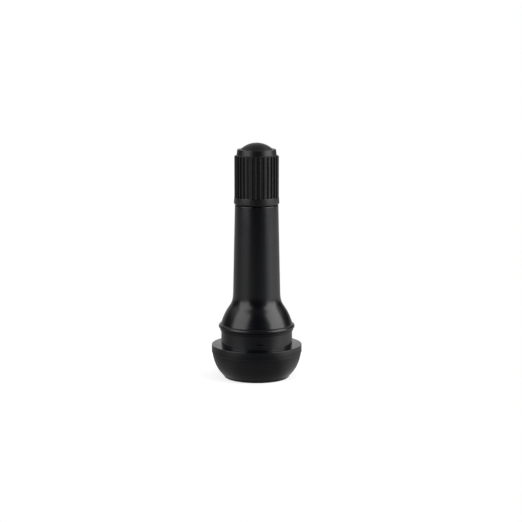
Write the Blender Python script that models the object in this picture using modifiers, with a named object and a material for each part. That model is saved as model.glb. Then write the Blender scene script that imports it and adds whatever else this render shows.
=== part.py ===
"""Snap-in tyre valve for a tubeless car wheel, with its screw-on dust cap.

Metres, +Z up. The valve stands on its moulded foot, with the origin at the centre of the foot.
Every piece is turned about the valve's long axis, which is the world Z axis.
Heights count up from the foot, and radii from the axis.
"""

import math

import bpy
from mathutils import Vector
from mathutils.geometry import interpolate_bezier

# Facets round the large turned pieces, the cap, and the small ones inside
ROUND_STEPS = 48
SMALL_STEPS = 20
PIN_STEPS = 12
SHARP_EDGE_DEG = 28

# The core pin and its spring, from the axis outwards
PIN_RADIUS = 0.00045
PIN_HEAD_PROUD = 0.0003
PIN_HEAD_LENGTH = 0.0005
PIN_TIP_DEPTH = 0.0004
PIN_ROUNDING = 0.00012
SPRING_WIRE_RADIUS = 0.00013
SPRING_PIN_CLEARANCE = 0.0002
SPRING_TURNS = 8
SPRING_END_TURNS = 1
SPRING_TURN_GAP = 0.00006
POINTS_PER_TURN = 12
SPRING_COLLAR_LENGTH = 0.0004

# The barrel that the core pin runs in
SPRING_BARREL_CLEARANCE = 0.00014
BARREL_WALL = 0.00045
BARREL_LENGTH = 0.0102
BARREL_LEDGE_LENGTH = 0.0016
BARREL_NOSE_LENGTH = 0.0009
BARREL_NOSE_WALL = 0.0004
BARREL_FLANGE_PROUD = 0.0005
BARREL_RIM_LENGTH = 0.0003
BARREL_RISE = 0.0001
AIR_HOLE_CLEARANCE = 0.0003

# The seal cup at the bottom of the pin
CUP_WALL = 0.0003
CUP_FLOOR = 0.0006
CUP_RIVET_PROUD = 0.00035
CUP_RIVET_LENGTH = 0.0005
CUP_SEAL_THICKNESS = 0.0008
CUP_SEAL_MARGIN = 0.00012
CUP_RIM_DROP = 0.0002

# The sleeve gasket that seals the barrel in the valve stem
GASKET_LENGTH = 0.00205
GASKET_LIP_PROUD = 0.0002
GASKET_LIP_LENGTH = 0.0006

# The threaded plug that turns on the barrel and holds the core down
SWIVEL_NECK_WALL = 0.0003
SWIVEL_FOOT_PROUD = 0.00023
SWIVEL_FOOT_LENGTH = 0.0005
SWIVEL_GAP = 0.00015
SWIVEL_PLAY = 0.00005
PLUG_HOLE_CLEARANCE = 0.00015
PLUG_THREAD_LENGTH = 0.0027
PLUG_CHAMFER = 0.0002
PLUG_HEAD_INSET = 0.0008
PLUG_HEAD_HEIGHT = 0.00115
PLUG_FLAT_DEPTH = 0.0006

# The brass stem
TIP_HEIGHT = 0.048
CHAMBER_DEPTH = 0.0069
CHAMBER_STEP = 0.00023
TAPER_LENGTH = 0.0025
TAPER_RISE = 0.0005
AIR_BORE_CLEARANCE = 0.00015
MOUTH_CHAMFER = 0.0003
STEM_WALL = 0.00078
THREAD_DEPTH = 0.00049
TIP_CHAMFER = 0.00045
TAIL_WALL = 0.0009
COLLAR_PROUD = 0.0009
COLLAR_LENGTH = 0.0012
COLLAR_CONE = 0.0008
COLLAR_OVER_FLANGE = 0.0006

# The moulded rubber body
RUBBER_HEIGHT = 0.0375
RUBBER_TOP_WALL = 0.00077
RUBBER_TOP_ROUNDING = 0.0002
STEM_TAPER = 0.0004
STEM_SLOPE_DEG = 1.3
FLARE_LENGTH = 0.00687
FLARE_SLOPE_DEG = 20
FLARE_LOWER_REACH = 0.0049
FLARE_UPPER_REACH = 0.0036
FLARE_FOOT_PROUD = 0.00011
FLARE_POINTS = 11
RIM_SEAT_RADIUS = 0.00761
RIM_SEAT_LENGTH = 0.00318
BEAD_PROUD = 0.0005
BEAD_UNDERSIDE_RISE = 0.0008
BEAD_EDGE_THICKNESS = 0.00022
BEAD_TOP_RISE = 0.00051
FLANGE_LIP = 0.00199
FLANGE_HEIGHT = 0.00702
PARTING_HEIGHT = 0.00545
PARTING_RIDGE_PROUD = 0.00015
PARTING_RIDGE_THICKNESS = 0.00022
BOWL_INSET = 0.00232
BOWL_SLOPE_DEG = 36
BOWL_TOP_SLOPE_DEG = 8
BOWL_LOWER_REACH = 0.0006
BOWL_UPPER_REACH = 0.0032
BOWL_POINTS = 8
FOOT_HEIGHT = 0.00045
FOOT_STEP = 0.00013
RECESS_DEPTH = 0.0016
RECESS_MOUTH_WALL = 0.002
RECESS_FLOOR_MARGIN = 0.0006

# The dust cap and its sealing washer
CAP_SEAL_THICKNESS = 0.0009
CAP_SEAL_WIDTH = 0.0012
CAP_GAP = 0.00018
CAP_WALL = 0.00049
CAP_MOUTH_CHAMFER = 0.00025
CAP_BAND_HEIGHT = 0.00149
CAP_BAND_PROUD = 0.00007
CAP_EDGE_CHAMFER = 0.00022
RIB_COUNT = 30
RIB_HEIGHT = 0.00034
RIB_GROOVE_RADIUS = 0.00033
GROOVE_CUTTER_SIDES = 10
RIB_SLOPE_RISE = 0.00035
COLLAR_INSET = 0.0002
COLLAR_RISE = 0.001
COLLAR_ROOF = 0.00035
COLLAR_CHAMFER = 0.00015
COLLAR_RIM_WIDTH = 0.00077
DOME_RISE = 0.0014
ROOF_THICKNESS = 0.00105
DOME_STEPS = 6

# Clearances: a seated face, a bonded or sealed joint, and a running or threaded fit
SEAT_GAP = 0.00005
BOND_GAP = 0.00005
RUNNING_GAP = 0.00008

# Radii that follow from the sizes above, from the axis outwards
SPRING_RADIUS = PIN_RADIUS + SPRING_PIN_CLEARANCE + SPRING_WIRE_RADIUS
BARREL_BORE = SPRING_RADIUS + SPRING_WIRE_RADIUS + SPRING_BARREL_CLEARANCE
BARREL_RADIUS = BARREL_BORE + BARREL_WALL
AIR_HOLE_RADIUS = PIN_RADIUS + AIR_HOLE_CLEARANCE
NOSE_RADIUS = AIR_HOLE_RADIUS + BARREL_NOSE_WALL
PLUG_HOLE_RADIUS = PIN_RADIUS + PLUG_HOLE_CLEARANCE
NECK_RADIUS = PLUG_HOLE_RADIUS + SWIVEL_NECK_WALL
SWIVEL_FOOT_RADIUS = NECK_RADIUS + SWIVEL_FOOT_PROUD
GASKET_LIP_RADIUS = BARREL_RADIUS + GASKET_LIP_PROUD
AIR_BORE_RADIUS = GASKET_LIP_RADIUS + AIR_BORE_CLEARANCE
TAPER_TOP_RADIUS = AIR_BORE_RADIUS + TAPER_RISE
CHAMBER_RADIUS = TAPER_TOP_RADIUS + CHAMBER_STEP
PLUG_RADIUS = CHAMBER_RADIUS - RUNNING_GAP
STEM_RADIUS = CHAMBER_RADIUS + STEM_WALL
THREAD_RADIUS = STEM_RADIUS + THREAD_DEPTH
TAIL_RADIUS = AIR_BORE_RADIUS + TAIL_WALL
TIP_RADIUS = THREAD_RADIUS - TIP_CHAMFER
RUBBER_TOP_RADIUS = THREAD_RADIUS + RUBBER_TOP_WALL
STEM_ROOT_RADIUS = RUBBER_TOP_RADIUS + STEM_TAPER
FLANGE_RADIUS = RIM_SEAT_RADIUS + FLANGE_LIP
CAP_BORE = THREAD_RADIUS + RUNNING_GAP
GROOVE_FLOOR_RADIUS = CAP_BORE + CAP_WALL
RIB_RADIUS = GROOVE_FLOOR_RADIUS + RIB_HEIGHT
BAND_RADIUS = RIB_RADIUS + CAP_BAND_PROUD
CAP_COLLAR_RADIUS = GROOVE_FLOOR_RADIUS - COLLAR_INSET
CUP_SEAL_RADIUS = NOSE_RADIUS + CUP_SEAL_MARGIN
CUP_RADIUS = CUP_SEAL_RADIUS + BOND_GAP + CUP_WALL

# Heights that follow, from the stem's tip downwards
CHAMBER_FLOOR = TIP_HEIGHT - CHAMBER_DEPTH
TAPER_BOTTOM = CHAMBER_FLOOR - TAPER_LENGTH
BARREL_TOP = CHAMBER_FLOOR + BARREL_RISE
BARREL_BOTTOM = BARREL_TOP - BARREL_LENGTH
GASKET_TOP = BARREL_TOP - BARREL_RIM_LENGTH - SEAT_GAP
GASKET_BOTTOM = GASKET_TOP - GASKET_LENGTH
PLUG_BOTTOM = BARREL_TOP + SWIVEL_GAP
SWIVEL_FOOT_TOP = BARREL_TOP - BARREL_RIM_LENGTH - SWIVEL_PLAY
SWIVEL_FOOT_BOTTOM = SWIVEL_FOOT_TOP - SWIVEL_FOOT_LENGTH
SWIVEL_POCKET_FLOOR = SWIVEL_FOOT_BOTTOM - SWIVEL_GAP
SPRING_COLLAR_TOP = SWIVEL_POCKET_FLOOR - SWIVEL_GAP
SPRING_COLLAR_BOTTOM = SPRING_COLLAR_TOP - SPRING_COLLAR_LENGTH
SPRING_LEDGE = BARREL_BOTTOM + BARREL_LEDGE_LENGTH
CUP_SEAL_TOP = BARREL_BOTTOM - SEAT_GAP
CUP_SEAL_BOTTOM = CUP_SEAL_TOP - CUP_SEAL_THICKNESS
CUP_FLOOR_TOP = CUP_SEAL_BOTTOM - SEAT_GAP
CUP_FLOOR_BOTTOM = CUP_FLOOR_TOP - CUP_FLOOR
PIN_TOP = TIP_HEIGHT - PIN_TIP_DEPTH
THREAD_BOTTOM = RUBBER_HEIGHT + CAP_GAP
CAP_BOTTOM = RUBBER_HEIGHT + CAP_GAP
CAP_SEAL_BOTTOM = TIP_HEIGHT + SEAT_GAP
CAP_SEAL_TOP = CAP_SEAL_BOTTOM + CAP_SEAL_THICKNESS
CAP_LEDGE = CAP_SEAL_TOP + SEAT_GAP
COLLAR_TOP = CAP_LEDGE + COLLAR_ROOF
COLLAR_BOTTOM = COLLAR_TOP - COLLAR_RISE
DOME_TOP = COLLAR_TOP + DOME_RISE


def collection(name):
    made = bpy.data.collections.new(name)
    bpy.context.scene.collection.children.link(made)
    return made


def finish(name, colour, roughness, metallic=0.0):
    material = bpy.data.materials.new(name)
    material.use_nodes = True
    shader = material.node_tree.nodes["Principled BSDF"]
    shader.inputs["Base Color"].default_value = (*colour, 1.0)
    shader.inputs["Roughness"].default_value = roughness
    shader.inputs["Metallic"].default_value = metallic
    return material


def axis_empty(name, height, parent=None):
    """An empty on the valve's axis, which carries the pieces that move along or about it."""
    empty = bpy.data.objects.new(name, None)
    empty.empty_display_size = RIM_SEAT_RADIUS
    valve.objects.link(empty)
    empty.parent = parent
    empty.location.z = height - height_of(parent)
    return empty


def height_of(carrier):
    """World height of an empty, adding up its parents' places."""
    height = 0.0
    while carrier:
        height += carrier.location.z
        carrier = carrier.parent
    return height


def smooth(piece):
    piece.data.shade_smooth()
    piece.data.set_sharp_from_angle(angle=math.radians(SHARP_EDGE_DEG))


def as_mesh(piece):
    """Replaces an object's data with the mesh that its modifiers make."""
    evaluated = piece.evaluated_get(bpy.context.evaluated_depsgraph_get())
    mesh = bpy.data.meshes.new_from_object(evaluated)
    mesh.name = piece.name
    piece.modifiers.clear()
    piece.data = mesh


def turned(name, outline, material, carrier=None, steps=ROUND_STEPS):
    """Turns an outline of (radius, height) points, clockwise in the +X half, about the axis.

    An outline that starts or ends on the axis is left open there. Any other one is closed.
    """
    origin = height_of(carrier)
    points = [(radius, 0.0, height - origin) for radius, height in outline]
    edges = [(i, i + 1) for i in range(len(points) - 1)]
    if outline[0][0] > 0.0:
        edges.append((len(points) - 1, 0))
    mesh = bpy.data.meshes.new(name)
    mesh.from_pydata(points, edges, [])
    piece = bpy.data.objects.new(name, mesh)
    valve.objects.link(piece)
    piece.parent = carrier
    screw = piece.modifiers.new("turn", "SCREW")
    screw.axis = "Z"
    screw.steps = steps
    screw.render_steps = steps
    screw.use_merge_vertices = True
    screw.merge_threshold = 1e-7
    as_mesh(piece)
    piece.data.materials.append(material)
    smooth(piece)
    return piece


def curve_through(start, start_deg, start_reach, end, end_deg, end_reach, count):
    """Points of a Bezier curve up the outline. An angle is how far the wall leans outwards."""
    lean_start = Vector((math.sin(math.radians(start_deg)), math.cos(math.radians(start_deg)), 0))
    lean_end = Vector((math.sin(math.radians(end_deg)), math.cos(math.radians(end_deg)), 0))
    first, last = Vector((*start, 0)), Vector((*end, 0))
    points = interpolate_bezier(
        first, first + lean_start * start_reach, last - lean_end * end_reach, last, count
    )
    return [(point.x, point.y) for point in points]


def dome(radius, rise, top, count):
    """Points of a spherical cap, from the axis down to its foot, without the foot."""
    sphere = (radius**2 + rise**2) / (2 * rise)
    reach = math.asin(radius / sphere) if rise < radius else math.pi - math.asin(radius / sphere)
    angles = [reach * i / count for i in range(count)]
    return [(sphere * math.sin(a), top - sphere * (1 - math.cos(a))) for a in angles]


def bonded_stem_side(gap=0.0):
    """The brass stem's side inside the rubber, from its tail up, moved outwards by a gap."""
    collar_bottom = FLANGE_HEIGHT + COLLAR_OVER_FLANGE
    collar_top = collar_bottom + COLLAR_CONE + COLLAR_LENGTH
    side = [
        (TAIL_RADIUS, RECESS_DEPTH),
        (TAIL_RADIUS, collar_bottom),
        (STEM_RADIUS + COLLAR_PROUD, collar_bottom + COLLAR_CONE),
        (STEM_RADIUS + COLLAR_PROUD, collar_top),
        (STEM_RADIUS, collar_top + COLLAR_CONE),
        (STEM_RADIUS, RUBBER_HEIGHT),
    ]
    return [(radius + gap, height) for radius, height in side]


def taper_radius(height):
    """The stem's bore radius at a height within its tapered gasket seat."""
    share = (height - TAPER_BOTTOM) / TAPER_LENGTH
    return AIR_BORE_RADIUS + TAPER_RISE * min(max(share, 0.0), 1.0)


def rubber_body():
    foot_radius = FLANGE_RADIUS - BOWL_INSET - FOOT_STEP
    bead_low = FLANGE_HEIGHT + RIM_SEAT_LENGTH
    edge_low = bead_low + BEAD_UNDERSIDE_RISE
    edge_high = edge_low + BEAD_EDGE_THICKNESS
    bead_high = edge_high + BEAD_TOP_RISE
    ridge_low = PARTING_HEIGHT - PARTING_RIDGE_THICKNESS / 2
    ridge_high = PARTING_HEIGHT + PARTING_RIDGE_THICKNESS / 2
    bowl = curve_through(
        (foot_radius + FOOT_STEP, FOOT_HEIGHT), BOWL_SLOPE_DEG, BOWL_LOWER_REACH,
        (FLANGE_RADIUS, ridge_low - PARTING_RIDGE_PROUD), BOWL_TOP_SLOPE_DEG, BOWL_UPPER_REACH,
        BOWL_POINTS,
    )
    flare = curve_through(
        (RIM_SEAT_RADIUS + FLARE_FOOT_PROUD, bead_high), -FLARE_SLOPE_DEG, FLARE_LOWER_REACH,
        (STEM_ROOT_RADIUS, bead_high + FLARE_LENGTH), -STEM_SLOPE_DEG, FLARE_UPPER_REACH,
        FLARE_POINTS,
    )
    upwards = [
        (foot_radius, 0.0),
        (foot_radius, FOOT_HEIGHT),
        *bowl,
        (FLANGE_RADIUS + PARTING_RIDGE_PROUD, ridge_low),
        (FLANGE_RADIUS + PARTING_RIDGE_PROUD, ridge_high),
        (FLANGE_RADIUS, ridge_high + PARTING_RIDGE_PROUD),
        (FLANGE_RADIUS, FLANGE_HEIGHT),
        (RIM_SEAT_RADIUS, FLANGE_HEIGHT),
        (RIM_SEAT_RADIUS, bead_low),
        (RIM_SEAT_RADIUS + BEAD_PROUD, edge_low),
        (RIM_SEAT_RADIUS + BEAD_PROUD, edge_high),
        *flare,
        (RUBBER_TOP_RADIUS, RUBBER_HEIGHT - RUBBER_TOP_ROUNDING),
        (RUBBER_TOP_RADIUS - RUBBER_TOP_ROUNDING, RUBBER_HEIGHT),
    ]
    bore = bonded_stem_side(BOND_GAP)
    recess = [
        (bore[0][0] + RECESS_FLOOR_MARGIN, RECESS_DEPTH),
        (foot_radius - RECESS_MOUTH_WALL, 0.0),
    ]
    rubber = finish("moulded rubber", (0.012, 0.012, 0.013), 0.42)
    return turned("rubber_body", upwards[::-1] + recess[::-1] + bore, rubber)


def brass_stem():
    outside = [
        (TIP_RADIUS, TIP_HEIGHT),
        (THREAD_RADIUS, TIP_HEIGHT - TIP_CHAMFER),
        (THREAD_RADIUS, THREAD_BOTTOM + THREAD_DEPTH),
        (STEM_RADIUS, THREAD_BOTTOM),
        *bonded_stem_side()[::-1],
    ]
    inside = [
        (AIR_BORE_RADIUS, RECESS_DEPTH),
        (AIR_BORE_RADIUS, TAPER_BOTTOM),
        (TAPER_TOP_RADIUS, CHAMBER_FLOOR),
        (CHAMBER_RADIUS, CHAMBER_FLOOR),
        (CHAMBER_RADIUS, TIP_HEIGHT - MOUTH_CHAMFER),
        (CHAMBER_RADIUS + MOUTH_CHAMFER, TIP_HEIGHT),
    ]
    brass = finish("turned brass", (0.72, 0.52, 0.2), 0.3, 1.0)
    return turned("brass_stem", outside + inside, brass)


def core_barrel(carrier):
    pocket_radius = SWIVEL_FOOT_RADIUS + RUNNING_GAP
    rim_radius = BARREL_RADIUS + BARREL_FLANGE_PROUD
    rim_bottom = BARREL_TOP - BARREL_RIM_LENGTH
    lip_top = GASKET_BOTTOM - SEAT_GAP
    lip_bottom = lip_top - GASKET_LIP_LENGTH
    outline = [
        (rim_radius, BARREL_TOP),
        (rim_radius, rim_bottom),
        (BARREL_RADIUS, rim_bottom),
        (BARREL_RADIUS, lip_top),
        (GASKET_LIP_RADIUS, lip_top),
        (GASKET_LIP_RADIUS, lip_bottom + GASKET_LIP_PROUD),
        (BARREL_RADIUS, lip_bottom),
        (BARREL_RADIUS, BARREL_BOTTOM + BARREL_NOSE_LENGTH),
        (NOSE_RADIUS, BARREL_BOTTOM),
        (AIR_HOLE_RADIUS, BARREL_BOTTOM),
        (AIR_HOLE_RADIUS, SPRING_LEDGE),
        (BARREL_BORE, SPRING_LEDGE),
        (BARREL_BORE, SWIVEL_POCKET_FLOOR),
        (pocket_radius, SWIVEL_POCKET_FLOOR),
        (pocket_radius, rim_bottom),
        (NECK_RADIUS + RUNNING_GAP, rim_bottom),
        (NECK_RADIUS + RUNNING_GAP, BARREL_TOP),
    ]
    brass = finish("barrel brass", (0.75, 0.56, 0.24), 0.28, 1.0)
    return turned("core_barrel", outline, brass, carrier, SMALL_STEPS)


def barrel_gasket(carrier):
    inner = BARREL_RADIUS + BOND_GAP
    outline = [
        (taper_radius(GASKET_TOP) - SEAT_GAP, GASKET_TOP),
        (taper_radius(GASKET_BOTTOM) - SEAT_GAP, GASKET_BOTTOM),
        (inner, GASKET_BOTTOM),
        (inner, GASKET_TOP),
    ]
    rubber = finish("red gasket rubber", (0.35, 0.03, 0.02), 0.5)
    return turned("barrel_gasket", outline, rubber, carrier, SMALL_STEPS)


def core_plug(carrier):
    thread_top = PLUG_BOTTOM + PLUG_THREAD_LENGTH
    head_top = thread_top + PLUG_HEAD_HEIGHT
    head_radius = PLUG_RADIUS - PLUG_HEAD_INSET
    outline = [
        (head_radius, head_top),
        (head_radius, thread_top),
        (PLUG_RADIUS - PLUG_CHAMFER, thread_top),
        (PLUG_RADIUS, thread_top - PLUG_CHAMFER),
        (PLUG_RADIUS, PLUG_BOTTOM + PLUG_CHAMFER),
        (PLUG_RADIUS - PLUG_CHAMFER, PLUG_BOTTOM),
        (NECK_RADIUS, PLUG_BOTTOM),
        (NECK_RADIUS, SWIVEL_FOOT_TOP),
        (SWIVEL_FOOT_RADIUS, SWIVEL_FOOT_TOP),
        (SWIVEL_FOOT_RADIUS, SWIVEL_FOOT_BOTTOM),
        (PLUG_HOLE_RADIUS, SWIVEL_FOOT_BOTTOM),
        (PLUG_HOLE_RADIUS, head_top),
    ]
    brass = finish("plug brass", (0.78, 0.6, 0.3), 0.25, 1.0)
    plug = turned("core_plug", outline, brass, carrier, SMALL_STEPS)
    cut_plug_flats(plug, thread_top, head_top, head_radius)
    return plug


def cut_plug_flats(plug, low, high, head_radius):
    """Two flats across the plug's head, which the core key grips."""
    for side in (-1, 1):
        bpy.ops.mesh.primitive_cube_add(
            size=1.0, location=(side * (2 * head_radius - PLUG_FLAT_DEPTH), 0, high)
        )
        cutter = bpy.context.object
        cutter.name = "flat_cutter"
        cutter.scale = (2 * head_radius, 4 * head_radius, 2 * (high - low))
        move_to(cutter, cutters)
        as_cutter(cutter)
        cut = plug.modifiers.new("flat", "BOOLEAN")
        cut.operation = "DIFFERENCE"
        cut.solver = "EXACT"
        cut.object = cutter


def move_to(piece, target):
    for owner in list(piece.users_collection):
        owner.objects.unlink(piece)
    target.objects.link(piece)


def as_cutter(piece):
    piece.hide_render = True
    piece.display_type = "WIRE"


def core_pin(carrier):
    head_radius = PIN_RADIUS + PIN_HEAD_PROUD
    rivet_radius = PIN_RADIUS + CUP_RIVET_PROUD
    rivet_top = CUP_FLOOR_BOTTOM - SEAT_GAP
    outline = [
        (0.0, PIN_TOP),
        (head_radius - PIN_ROUNDING, PIN_TOP),
        (head_radius, PIN_TOP - PIN_ROUNDING),
        (head_radius, PIN_TOP - PIN_HEAD_LENGTH),
        (PIN_RADIUS, PIN_TOP - PIN_HEAD_LENGTH - PIN_ROUNDING),
        (PIN_RADIUS, rivet_top),
        (rivet_radius, rivet_top),
        (rivet_radius, rivet_top - CUP_RIVET_LENGTH + PIN_ROUNDING),
        (rivet_radius - PIN_ROUNDING, rivet_top - CUP_RIVET_LENGTH),
        (0.0, rivet_top - CUP_RIVET_LENGTH),
    ]
    brass = finish("pin brass", (0.7, 0.53, 0.25), 0.3, 1.0)
    return turned("core_pin", outline, brass, carrier, PIN_STEPS)


def ring(name, inner, outer, bottom, top, material, carrier, steps=SMALL_STEPS):
    outline = [(outer, top), (outer, bottom), (inner, bottom), (inner, top)]
    return turned(name, outline, material, carrier, steps)


def spring_collar(carrier):
    steel = finish("collar steel", (0.55, 0.55, 0.53), 0.35, 1.0)
    return ring(
        "spring_collar", PIN_RADIUS + BOND_GAP, BARREL_BORE - RUNNING_GAP,
        SPRING_COLLAR_BOTTOM, SPRING_COLLAR_TOP, steel, carrier,
    )


def pin_cup(carrier):
    rim_top = CUP_SEAL_TOP - CUP_RIM_DROP
    outline = [
        (CUP_RADIUS, rim_top),
        (CUP_RADIUS, CUP_FLOOR_BOTTOM),
        (PIN_RADIUS + BOND_GAP, CUP_FLOOR_BOTTOM),
        (PIN_RADIUS + BOND_GAP, CUP_FLOOR_TOP),
        (CUP_RADIUS - CUP_WALL, CUP_FLOOR_TOP),
        (CUP_RADIUS - CUP_WALL, rim_top),
    ]
    brass = finish("cup brass", (0.68, 0.5, 0.22), 0.35, 1.0)
    return turned("pin_cup", outline, brass, carrier, SMALL_STEPS)


def cup_seal(carrier):
    rubber = finish("cup seal rubber", (0.02, 0.02, 0.02), 0.55)
    return ring(
        "cup_seal", PIN_RADIUS + BOND_GAP, CUP_SEAL_RADIUS,
        CUP_SEAL_BOTTOM, CUP_SEAL_TOP, rubber, carrier,
    )


def spring_heights(bottom, top):
    """Heights of a compression spring's centre line, with closed turns at both ends."""
    closed_rise = 2 * SPRING_WIRE_RADIUS + SPRING_TURN_GAP
    open_turns = SPRING_TURNS - 2 * SPRING_END_TURNS
    open_rise = (top - bottom - 2 * SPRING_END_TURNS * closed_rise) / open_turns
    heights = [bottom]
    for point in range(SPRING_TURNS * POINTS_PER_TURN):
        turn = point / POINTS_PER_TURN
        closed = turn < SPRING_END_TURNS or turn >= SPRING_TURNS - SPRING_END_TURNS
        heights.append(heights[-1] + (closed_rise if closed else open_rise) / POINTS_PER_TURN)
    return heights


def core_spring(carrier):
    origin = height_of(carrier)
    end_gap = SPRING_WIRE_RADIUS + SEAT_GAP
    heights = spring_heights(SPRING_LEDGE + end_gap, SPRING_COLLAR_BOTTOM - end_gap)
    curve = bpy.data.curves.new("core_spring", "CURVE")
    curve.dimensions = "3D"
    curve.bevel_depth = SPRING_WIRE_RADIUS
    curve.bevel_resolution = 2
    curve.use_fill_caps = True
    wire = curve.splines.new("POLY")
    wire.points.add(len(heights) - 1)
    for number, height in enumerate(heights):
        angle = 2 * math.pi * number / POINTS_PER_TURN
        x, y = SPRING_RADIUS * math.cos(angle), SPRING_RADIUS * math.sin(angle)
        wire.points[number].co = (x, y, height - origin, 1.0)
    curve.materials.append(finish("spring steel", (0.5, 0.5, 0.5), 0.3, 1.0))
    spring = bpy.data.objects.new("core_spring", curve)
    valve.objects.link(spring)
    spring.parent = carrier
    return spring


def cap_seal(carrier):
    rubber = finish("cap washer rubber", (0.03, 0.03, 0.03), 0.6)
    return ring(
        "cap_seal", TIP_RADIUS - CAP_SEAL_WIDTH, TIP_RADIUS,
        CAP_SEAL_BOTTOM, CAP_SEAL_TOP, rubber, carrier, ROUND_STEPS,
    )


def cap(carrier):
    pocket_radius = TIP_RADIUS + SEAT_GAP
    dome_radius = CAP_COLLAR_RADIUS - COLLAR_RIM_WIDTH
    inner_rise = DOME_TOP - ROOF_THICKNESS - CAP_LEDGE
    inner_radius = inner_dome_radius(dome_radius, inner_rise)
    band_top = CAP_BOTTOM + CAP_BAND_HEIGHT
    outside = [
        *dome(dome_radius, DOME_RISE, DOME_TOP, DOME_STEPS),
        (dome_radius, COLLAR_TOP),
        (CAP_COLLAR_RADIUS - COLLAR_CHAMFER, COLLAR_TOP),
        (CAP_COLLAR_RADIUS, COLLAR_TOP - COLLAR_CHAMFER),
        (CAP_COLLAR_RADIUS, COLLAR_BOTTOM),
        (RIB_RADIUS, COLLAR_BOTTOM - RIB_SLOPE_RISE),
        (RIB_RADIUS, band_top),
        (BAND_RADIUS, band_top - CAP_BAND_PROUD),
        (BAND_RADIUS, CAP_BOTTOM + 2 * CAP_EDGE_CHAMFER),
        (BAND_RADIUS - CAP_EDGE_CHAMFER, CAP_BOTTOM),
    ]
    inside = [
        (CAP_BORE + CAP_MOUTH_CHAMFER, CAP_BOTTOM),
        (CAP_BORE, CAP_BOTTOM + CAP_MOUTH_CHAMFER),
        (CAP_BORE, CAP_SEAL_BOTTOM),
        (pocket_radius, CAP_SEAL_BOTTOM),
        (pocket_radius, CAP_LEDGE),
        (inner_radius, CAP_LEDGE),
        *dome(inner_radius, inner_rise, DOME_TOP - ROOF_THICKNESS, DOME_STEPS // 2)[::-1],
    ]
    plastic = finish("cap plastic", (0.02, 0.02, 0.021), 0.38)
    piece = turned("cap", outside + inside, plastic, carrier, 2 * RIB_COUNT)
    cut_cap_grooves(piece, band_top)
    return piece


def inner_dome_radius(dome_radius, inner_rise):
    """The radius at which the hollow under the dome meets the cap's ledge."""
    sphere = (dome_radius**2 + DOME_RISE**2) / (2 * DOME_RISE) - ROOF_THICKNESS
    return math.sqrt(sphere**2 - (sphere - inner_rise) ** 2)


def cut_cap_grooves(piece, band_top):
    """Round-bottomed grooves between the ribs, open at the sloped shoulder."""
    length = COLLAR_BOTTOM + COLLAR_RISE / 2 - band_top
    for number in range(RIB_COUNT):
        angle = 2 * math.pi * (number + 0.5) / RIB_COUNT
        reach = GROOVE_FLOOR_RADIUS + RIB_GROOVE_RADIUS
        bpy.ops.mesh.primitive_cylinder_add(
            vertices=GROOVE_CUTTER_SIDES,
            radius=RIB_GROOVE_RADIUS,
            depth=length,
            location=(reach * math.cos(angle), reach * math.sin(angle), band_top + length / 2),
            rotation=(0, 0, angle),
        )
        cutter = bpy.context.object
        cutter.name = "groove_cutter"
        move_to(cutter, groove_cutters)
        as_cutter(cutter)
    cut = piece.modifiers.new("grooves", "BOOLEAN")
    cut.operation = "DIFFERENCE"
    cut.solver = "EXACT"
    cut.operand_type = "COLLECTION"
    cut.collection = groove_cutters


def build_valve():
    rubber_body()
    brass_stem()

    core_lift = axis_empty("core_lift", CHAMBER_FLOOR)
    core_barrel(core_lift)
    barrel_gasket(core_lift)
    core_plug(axis_empty("plug_swivel", BARREL_TOP, core_lift))

    pin_slide = axis_empty("pin_slide", BARREL_BOTTOM, core_lift)
    core_pin(pin_slide)
    spring_collar(pin_slide)
    pin_cup(pin_slide)
    cup_seal(pin_slide)
    core_spring(pin_slide)

    cap_lift = axis_empty("cap_lift", TIP_HEIGHT)
    cap_seal(cap_lift)
    cap(axis_empty("cap_turn", CAP_LEDGE, cap_lift))


for old in list(bpy.data.objects):
    bpy.data.objects.remove(old, do_unlink=True)

valve = collection("tyre valve")
cutters = collection("cutters")
groove_cutters = collection("groove cutters")
build_valve()
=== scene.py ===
import math

import bpy
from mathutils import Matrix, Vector
from mathutils.geometry import interpolate_bezier


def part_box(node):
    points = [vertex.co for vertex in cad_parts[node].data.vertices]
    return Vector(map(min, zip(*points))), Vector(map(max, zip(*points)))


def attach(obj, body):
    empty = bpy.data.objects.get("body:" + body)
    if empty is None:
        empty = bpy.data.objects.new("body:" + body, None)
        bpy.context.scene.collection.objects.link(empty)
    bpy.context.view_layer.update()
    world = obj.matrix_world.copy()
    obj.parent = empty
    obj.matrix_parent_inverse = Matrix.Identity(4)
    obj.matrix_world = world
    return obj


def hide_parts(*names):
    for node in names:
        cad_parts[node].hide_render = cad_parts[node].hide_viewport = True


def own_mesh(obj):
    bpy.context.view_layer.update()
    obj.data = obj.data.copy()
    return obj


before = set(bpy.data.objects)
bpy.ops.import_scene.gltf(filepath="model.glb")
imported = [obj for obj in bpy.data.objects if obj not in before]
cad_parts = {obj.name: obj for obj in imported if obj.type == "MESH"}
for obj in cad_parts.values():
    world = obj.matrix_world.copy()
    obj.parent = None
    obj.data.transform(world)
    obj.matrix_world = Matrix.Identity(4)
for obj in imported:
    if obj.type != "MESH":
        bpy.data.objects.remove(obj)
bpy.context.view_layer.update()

mm = 0.001  # every size below is in millimetres


def lowOf(node):
    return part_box(node)[0].z / mm


def highOf(node):
    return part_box(node)[1].z / mm


# Camera, where the photograph was taken from

shot = {
    "distance": 351.53,
    "pitchDeg": 9.28,
    "lookHeight": 25.27,
    "sideways": 0.93,
    "focalPixels": 1635.53,
    "imagePixels": 522,
    "sensorWidth": 36.0,
}


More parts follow.
